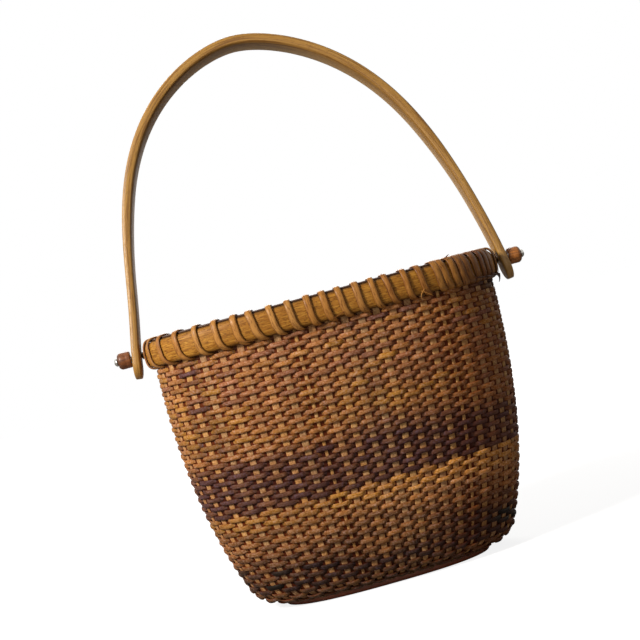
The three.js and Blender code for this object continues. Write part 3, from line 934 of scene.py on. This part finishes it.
weaver_last_turn()
hoop("outer_hoop_half_round", WALL_SEAT, OUTER_HOOP_DEPTH, "outer_hoop")
hoop("inner_hoop_half_round", -WALL_SEAT, -INNER_HOOP_DEPTH, "inner_hoop")
rim_cap()

# Lashing: each loop rises inside the hoops, passes over the cap and comes down outside.
LASH_STAND_OFF = 0.62
LASH_REACH_OUT = WALL_SEAT + OUTER_HOOP_DEPTH + LASH_STAND_OFF
LASH_REACH_IN = WALL_SEAT + INNER_HOOP_DEPTH + LASH_STAND_OFF
LASH_REACH_UP = HOOP_HEIGHT / 2 + FIT_GAP + CAP_THICKNESS + 0.42
LASH_REACH_DOWN = HOOP_HEIGHT / 2 + LASH_STAND_OFF
LASH_HALF_WIDTH = 2.1
LASH_OUTER_DEPTH, LASH_INNER_DEPTH = 0.72, 0.35
LASH_STEPS = 30
LASH_SWING = 0.17


def lashing(name, first, loops, seed, *nodes, nudge=0.0):
    """Loops of flat cane, one for each gap between staves, or between those with a nudge."""
    local = np.random.default_rng(seed)
    count = first + np.arange(loops * LASH_STEPS) / LASH_STEPS
    whole = np.floor(count).astype(int)
    turn = count - whole
    loop = whole - first
    angle = -np.pi / 2 - turn * 2 * np.pi
    sideways, upwards = np.cos(angle), np.sin(angle)
    reach_level = np.where(sideways > 0, LASH_REACH_OUT, LASH_REACH_IN)
    reach_upright = np.where(upwards > 0, LASH_REACH_UP, LASH_REACH_DOWN)
    offset = reach_level * squared(sideways, HOOP_POWER)
    height = reach_upright * squared(upwards, HOOP_POWER)
    shift = local.normal(0, 0.11, loops + 2)[loop] * np.sin(np.pi * turn) ** 2
    column = whole + turn + LASH_SWING * np.sin(2 * np.pi * turn) + shift + nudge
    place, _ = rim_point(column, offset, HOOP_MIDDLE + height)
    beside, out = rim_point(column + 0.02, offset, HOOP_MIDDLE + height)
    along, way = of_length_one(beside - place), travel(place)
    across = of_length_one(along - way * np.sum(along * way, axis=1, keepdims=True))
    face = np.cross(way, across)
    hoop_heart = place - out * (offset * MM)[:, None]
    hoop_heart[:, 2] = HOOP_MIDDLE * MM
    face[np.sum(face * (place - hoop_heart), axis=1) < 0] *= -1
    right_end = whole < STAVES
    width = local.normal(0.88, 0.08, loops + 2)[loop]
    width = width + 0.14 * ease(whole, STAVES - 9, STAVES - 6) * right_end
    unit = oval_outline(12, 2.2)
    depth = np.where(unit[:, 1] > 0, LASH_OUTER_DEPTH, LASH_INNER_DEPTH) * MM
    outline = sized(unit, LASH_HALF_WIDTH * MM * width, depth)
    hue = local.uniform(0, 1, (loops + 2, 2))[loop]
    # The smoke share and the tone both darken the loops towards the right-hand end: painted shade,
    # away from the light.
    smoke = 1.1 * hue[:, 1] - 0.6 + 0.6 * ease(whole, STAVES - 7, STAVES - 3)
    stains = shares(honey=hue[:, 0] - 0.1, smoke=smoke)
    right_end_shade = 0.28 * ease(whole, STAVES - 9, STAVES - 2) * right_end
    stains["tone"] = 1.0 + 0.06 * drift(count, seed + 1, 3.0) - right_end_shade
    # painted shade along both edges of each loop
    stains["edge"] = 0.8 * np.abs(unit[None, :, 0]) ** 4
    mesh = rolled_strip(place, across, face, outline, **stains)
    piece(name, mesh, "basket", "lashing_cane", lashing_cane, *nodes)


FRONT_LOOPS = 24
lashing("lashing_front_cane", BACK_STAVES, FRONT_LOOPS, 71, "lashing_front")
lashing("lashing_doubled_cane", STAVES - 7, 4, 75, nudge=0.5)
lashing(
    "lashing_back_cane", BACK_STAVES + FRONT_LOOPS, STAVES - FRONT_LOOPS, 72, "lashing_back"
)


# Frayed ends of the binding cane, at the right end of the rim and under it. Each is a path of
# (column of the wall, distance out of its middle, height), its half width and how dark it is.
FRAYS = [
    ([(39.5, 6.0, 149.0), (39.3, 6.6, 146.6), (38.9, 6.7, 145.0), (39.5, 6.8, 142.6)], 0.3, 0.0),
    ([(39.3, 6.0, 148.4), (39.7, 6.6, 146.0), (39.9, 6.8, 144.2)], 0.25, 0.1),
    ([(41.3, 4.6, 161.8), (41.4, 5.2, 162.8), (41.5, 5.7, 163.3)], 0.45, 0.8),
    ([(44.2, 6.2, 147.6), (45.0, 6.4, 146.0), (46.2, 6.1, 145.6)], 0.5, 1.0),
    ([(45.0, 6.2, 147.2), (45.8, 6.4, 145.4), (46.4, 6.1, 146.2), (46.8, 5.9, 147.4)], 0.5, 1.0),
    ([(45.4, 6.0, 146.4), (46.0, 6.2, 144.8), (46.6, 6.0, 144.4), (46.9, 5.9, 145.6)], 0.5, 1.0),
    ([(45.8, 6.0, 146.4), (46.2, 6.1, 144.6), (46.5, 6.1, 143.0), (46.9, 5.9, 141.8)], 0.6, 1.0),
    ([(46.4, 5.2, 147.4), (46.6, 6.0, 145.0), (46.3, 6.1, 143.2)], 0.6, 1.0),
    ([(42.8, 6.2, 147.6), (43.8, 6.8, 146.2), (44.8, 6.6, 146.4), (45.6, 6.2, 147.6)], 0.45, 1.0),
    ([(43.6, 6.4, 147.0), (44.6, 6.6, 145.2), (45.6, 6.3, 145.8), (46.7, 6.0, 147.2)], 0.4, 1.0),
    ([(28.4, 5.8, 148.6), (28.9, 6.1, 146.8), (29.4, 6.0, 146.0)], 0.3, 0.5),
    ([(34.6, 5.6, 148.8), (34.2, 5.8, 147.2), (33.7, 5.8, 146.2)], 0.3, 0.6),
    ([(46.4, 5.6, 159.0), (46.66, 7.4, 156.0), (46.68, 7.4, 151.0), (46.6, 5.8, 147.6)], 0.45, 1.0),
    ([(46.2, 5.6, 158.6), (46.55, 6.9, 154.0), (46.55, 7.0, 150.0), (46.3, 5.9, 146.8)], 0.4, 1.0),
]


def fray(number, path, size, smoke):
    spots = np.array(path)
    places, _ = rim_point(spots[:, 0], spots[:, 1], spots[:, 2])
    line = drawn_curve(places, 14)
    way = travel(line)
    across = of_length_one(np.cross(way, (0.3, 1.0, 0.2)))
    taper = np.linspace(1.0, 0.25, len(line))[:, None, None]
    outline = oval_outline(8, 2.0, size * MM, 0.6 * size * MM)[None] * taper
    stains = {"smoke": smoke, "honey": 0.4 * (1 - smoke), "tone": 1.0 - 0.65 * smoke**3}
    mesh = rolled_strip(line, across, np.cross(way, across), outline, **stains)
    piece(f"fray_{number}", mesh, "basket", "lashing_cane", lashing_cane)


for number, (path, size, smoke) in enumerate(FRAYS, 1):
    fray(number, path, size, smoke)


# Base plate.

LINE_HALF_WIDTH, LINE_DEPTH = 0.7, 0.35
UNDER_LINE, UPPER_LINE = 40.7, 35.3


def plate_profile():
    """From the middle of the underside round the grooved edge to the middle of the upper face."""
    edge, level, top = PLATE_HALF_LENGTH, GROOVE_LEVEL, PLATE_THICKNESS
    groove_floor = edge - FOOT_DEPTH - 0.5
    return [
        (0.0, 0.0), (20.0, 0.0), (UNDER_LINE - LINE_HALF_WIDTH, 0.0),
        (UNDER_LINE, LINE_DEPTH), (UNDER_LINE + LINE_HALF_WIDTH, 0.0),
        (50.0, 0.0), (edge - 1.4, 0.0), (edge - 0.6, 0.2), (edge - 0.15, 0.65), (edge, 1.3),
        (edge, 2.4), (edge, level - 0.8), (edge - 0.4, level - 0.7), (groove_floor, level - 0.7),
        (groove_floor, level + 0.7), (edge - 0.4, level + 0.7), (edge, level + 0.8),
        (edge, top - 0.8), (edge - 0.2, top - 0.35), (edge - 0.7, top - 0.05),
        (edge - 1.4, top), (50.0, top), (UPPER_LINE + LINE_HALF_WIDTH, top),
        (UPPER_LINE, top - LINE_DEPTH), (UPPER_LINE - LINE_HALF_WIDTH, top),
        (15.0, top), (0.0, top),
    ]


def base_plate():
    profile = plate_profile()
    outline, _ = oval_at(share_of_column(np.linspace(0, STAVES, FINE_COLUMNS + 1)))
    bm = flat_grid(FINE_COLUMNS, len(profile) - 1)
    for vert in bm.verts:
        x, y = outline[round((vert.co.x + 0.5) * FINE_COLUMNS)]
        half, height = profile[round((vert.co.y + 0.5) * (len(profile) - 1))]
        vert.co = (half * x * MM, half * y * MM, height * MM)
    bmesh.ops.remove_doubles(bm, verts=bm.verts, dist=1e-6)
    bmesh.ops.dissolve_degenerate(bm, edges=bm.edges, dist=1e-7)
    bmesh.ops.recalc_face_normals(bm, faces=bm.faces)
    piece("base_plate_turned", mesh_of(bm), "basket", "base_wood", base_wood, "base_plate")


base_plate()


# Handle.

PIVOT_LEAN = wall_lean(PIVOT_HEIGHT)
SWING = math.radians(BOW_REST_SWING)
BOW_STEPS = 70
BOW_SECTION = 28
BOW_FULLER = 1.1


def leaned(ways):
    """Ways given in the handle's own frame, leaned back as the bow stands at rest."""
    x, y, z = ways[..., 0], ways[..., 1], ways[..., 2]
    level = y * math.cos(SWING) + z * math.sin(SWING)
    upright = z * math.cos(SWING) - y * math.sin(SWING)
    return np.stack([x, level, upright], axis=-1)


def half_bow(end, pulls):
    """One half of the bow from its pin up to the crown, as x against height."""
    half = drawn_curve([(1, 0), *pulls, (0, 1)], BOW_STEPS) * [end * BOW_HALF_SPAN, BOW_RISE]
    half[:, 0] += BOW_SHIFT - BOW_LEAN_SHARE * half[:, 1]
    return half


left, right = half_bow(-1, LEFT_PULLS), half_bow(1, RIGHT_PULLS)
leg_ways = {-1: of_length_one(left[1] - left[0]), 1: of_length_one(right[1] - right[0])}


def handle_bow():
    end_round = BOW_DEPTH / 2
    leg_angles = np.radians([6, 14, 24, 36, 48, 60, 75, 90])
    leg_drop = LEG_DROP - end_round * (1 - np.cos(leg_angles))
    leg_half = end_round * np.sin(leg_angles)
    arch = np.concatenate([left, right[::-1][1:]])
    left_leg = left[0] - leg_ways[-1] * leg_drop[:, None]
    right_leg = right[0] - leg_ways[1] * leg_drop[::-1, None]
    line = np.concatenate([left_leg, arch, right_leg])
    half = np.concatenate([leg_half, np.full(len(arch), end_round), leg_half[::-1]])
    way = travel(line)
    outward = np.stack([-way[:, 1], np.zeros(len(way)), way[:, 0]], axis=1)
    middle = np.stack([line[:, 0], np.zeros(len(line)), line[:, 1]], axis=1)
    across = np.zeros_like(middle) + [0, 1, 0]
    # the seam of the UV map lies on the back edge
    unit = np.roll(oval_outline(BOW_SECTION, 5.0), -BOW_SECTION // 4, axis=0)
    inner_side = unit[:, 1] < 0
    thick = BOW_THICKNESS / 2 * np.clip(0.6 + 0.4 * half / end_round, 0, 1)
    fuller = BOW_FULLER * ease(line[:, 1], 40, 90)
    outline = sized(unit, half, thick[:, None] + fuller[:, None] * inner_side) * MM
    # Painted shade: a dark line runs along the front edge of the inner face, and the rest of that
    # face is a little darker, fading out down the legs. Painted light: the back of the inner face
    # is paler, and so is the lower end of the right leg. The rounded outer edges are paler too.
    inner_face = ease(-unit[:, 1], 0.35, 0.95)
    dark_line = inner_face * (0.35 + 0.65 * ease(-unit[:, 0], 0.5, 0.95))
    pale_face = 0.9 * ease(-unit[:, 1], 0.5, 0.95) * ease(unit[:, 0], -0.5, 0.7)
    pale_edge = 0.3 * ease(np.abs(unit[:, 0] * unit[:, 1]), 0.55, 0.95) * (unit[:, 1] > 0)
    right_leg_end = 0.25 * (line[:, 0] > 0) * ease_off(line[:, 1], -4, 8)
    stains = {
        "inside": 0.5 * ease(line[:, 1], 20, 110)[:, None] * dark_line,
        "worn": pale_face + pale_edge + right_leg_end[:, None],
    }
    standing = (leaned(middle) + [PIVOT_LEAN, 0, PIVOT_HEIGHT]) * MM
    mesh = rolled_strip(standing, leaned(across), leaned(outward), outline, **stains)
    piece("handle_bow_bent", mesh, "handle", "handle_wood", bow_wood, "handle_bow")


handle_bow()


# Knobs and pins.

PIN_START = 89.55
COLLAR_START = 100.85


def knob_and_pin(end, label, wood):
    """The pin with its collar, burred inner end and domed head, and the knob that it holds."""
    slope = abs(leg_ways[end][0] / leg_ways[end][1])
    leg = BOW_HALF_SPAN + end * BOW_SHIFT
    inner = leg + BOW_THICKNESS / 2 + FIT_GAP + KNOB_RADIUS * slope
    outer = inner + KNOB_LENGTH
    head = outer + FIT_GAP
    washer = leg - BOW_THICKNESS / 2 - FIT_GAP - PIN_COLLAR_RADIUS * slope
    bore, rim, dome = PIN_RADIUS + FIT_GAP, KNOB_RADIUS, PIN_HEAD_RADIUS
    knob_profile = [
        (bore, inner), (rim - 0.6, inner), (rim - 0.2, inner + 0.2), (rim, inner + 0.7),
        (rim, inner + 2.4), (rim - 0.1, inner + 2.7), (rim, inner + 3.0), (rim, outer - 2.0),
        (rim - 0.15, outer - 1.3), (rim - 0.7, outer - 0.5), (rim - 1.4, outer),
        (rim - 2.0, outer), (bore, outer), (bore, inner),
    ]
    pin_profile = [
        (0.0, PIN_START), (2.0, PIN_START), (2.2, PIN_START + 0.2),
        (2.2, PIN_START + 0.8), (PIN_RADIUS, PIN_START + 0.8),
        (PIN_RADIUS, COLLAR_START), (PIN_COLLAR_RADIUS, COLLAR_START),
        (PIN_COLLAR_RADIUS, washer), (PIN_RADIUS, washer), (PIN_RADIUS, head),
        (dome - 0.2, head), (dome, head + 0.2), (dome - 0.05, head + 0.6),
        (dome - 0.3, head + 1.1), (dome - 0.8, head + 1.55), (0.8, head + 1.82),
        (0.0, head + PIN_HEAD_RISE),
    ]
    mesh = turned(pin_profile, end, 36)
    piece(f"pin_{label}_domed", mesh, "basket", "pin_metal", pin_metal, f"pin_{label}")
    mesh = turned(knob_profile, end, 48)
    along = end * (points_of(mesh)[:, 0] / MM - PIVOT_LEAN)
    # painted shade on the outer end and its chamfer
    hold(mesh, "worn_end", 0.75 * ease(along, outer - 2.6, outer - 0.4))
    piece(f"knob_{label}_turned", mesh, "handle", "knob_wood", wood, f"knob_{label}")


knob_and_pin(-1, "left", make_knob_wood("knob_wood_left", "7E4A24", "482710", "A06A36"))
knob_and_pin(1, "right", make_knob_wood("knob_wood_right", "AA6628", "6A3E16", "C48A44"))


# Stage, light and camera.

WHITE = (1, 1, 1, 1)
FLOOR_REACH = 6.0
FLOOR_DYE = (0.3, 0.3, 0.3, 1)
GLOW_NEAR, GLOW_FAR = 0.86, 1.0
SOFT_LIGHT = {"Color": (1.0, 0.95, 0.88, 1), "Strength": 0.1}
LAMP_AIM = (0, 0, 0.12)
CAMERA_LENS = 84.4
CAMERA_AIM = (0.00049, 0, 0.14751)
CAMERA_DISTANCE = 0.8419
CAMERA_AZIMUTH = -3
CAMERA_ROLL = -15.2


def stage_floor():
    floor = placed("floor", mesh_of(flat_grid(1, 1, FLOOR_REACH)))
    material = bpy.data.materials.new("floor_pale")
    material.use_nodes = True
    tree = material.node_tree
    tree.nodes.clear()
    output = new_node(tree, "ShaderNodeOutputMaterial")
    matt = new_node(tree, "ShaderNodeBsdfDiffuse", {"Color": FLOOR_DYE})
    glow = new_node(tree, "ShaderNodeEmission", {"Color": WHITE})
    path = new_node(tree, "ShaderNodeLightPath")
    # paler away from the object, so that the floor runs into the backdrop
    where = new_node(tree, "ShaderNodeTexCoord")
    reach = new_node(tree, "ShaderNodeVectorMath", operation="LENGTH")
    fade = new_node(
        tree,
        "ShaderNodeMapRange",
        {"From Min": 0.15, "From Max": 0.9, "To Min": GLOW_NEAR, "To Max": GLOW_FAR},
        interpolation_type="SMOOTHSTEP",
    )
    share = new_node(tree, "ShaderNodeMath", operation="MULTIPLY")
    both = new_node(tree, "ShaderNodeAddShader")
    for source, socket in (
        (where.outputs["Object"], reach.inputs[0]),
        (reach.outputs["Value"], fade.inputs["Value"]),
        (path.outputs["Is Camera Ray"], share.inputs[0]),
        (fade.outputs[0], share.inputs[1]),
        (share.outputs[0], glow.inputs["Strength"]),
        (matt.outputs[0], both.inputs[0]),
        (glow.outputs[0], both.inputs[1]),
        (both.outputs[0], output.inputs["Surface"]),
    ):
        tree.links.new(source, socket)
    floor.data.materials.append(material)


def world_light():
    """A dim warm light all round, which the camera and shiny surfaces see as white."""
    world = bpy.data.worlds.new("studio")
    bpy.context.scene.world = world
    world.use_nodes = True
    tree = world.node_tree
    tree.nodes.clear()
    output = new_node(tree, "ShaderNodeOutputWorld")
    soft = new_node(tree, "ShaderNodeBackground", SOFT_LIGHT)
    white = new_node(tree, "ShaderNodeBackground", {"Color": WHITE, "Strength": 1.0})
    path = new_node(tree, "ShaderNodeLightPath")
    either = new_node(tree, "ShaderNodeMath", operation="MAXIMUM")
    mix = new_node(tree, "ShaderNodeMixShader")
    for source, socket in (
        (path.outputs["Is Camera Ray"], either.inputs[0]),
        (path.outputs["Is Glossy Ray"], either.inputs[1]),
        (either.outputs[0], mix.inputs[0]),
        (soft.outputs[0], mix.inputs[1]),
        (white.outputs[0], mix.inputs[2]),
        (mix.outputs[0], output.inputs["Surface"]),
    ):
        tree.links.new(source, socket)


def lamp(name, place, size, watts, colour):
    data = bpy.data.lights.new(name, "AREA")
    data.shape = "DISK"
    data.size = size
    data.energy = watts
    data.color = colour
    obj = placed(name, data)
    obj.location = place
    obj.rotation_mode = "QUATERNION"
    obj.rotation_quaternion = (Vector(LAMP_AIM) - Vector(place)).to_track_quat("-Z", "Y")


def set_camera():
    data = bpy.data.cameras.new("camera")
    data.sensor_width = 36
    data.lens = CAMERA_LENS
    camera = placed("camera", data)
    azimuth = math.radians(CAMERA_AZIMUTH)
    away = Vector((math.sin(azimuth), -math.cos(azimuth), 0))
    roll = Quaternion((0, 0, 1), math.radians(CAMERA_ROLL))
    camera.location = Vector(CAMERA_AIM) + away * CAMERA_DISTANCE
    camera.rotation_mode = "QUATERNION"
    camera.rotation_quaternion = (-away).to_track_quat("-Z", "Y") @ roll
    bpy.context.scene.camera = camera


stage_floor()
world_light()
lamp("key", (-0.92, -0.72, 0.8), 0.3, 23, (1.0, 0.96, 0.9))
lamp("fill", (0.0, -1.3, 0.4), 0.9, 1.5, (1.0, 0.92, 0.82))
lamp("back", (0.0, 1.4, 0.8), 0.9, 13, (1.0, 0.97, 0.93))
set_camera()
bpy.context.scene.view_settings.view_transform = "Standard"
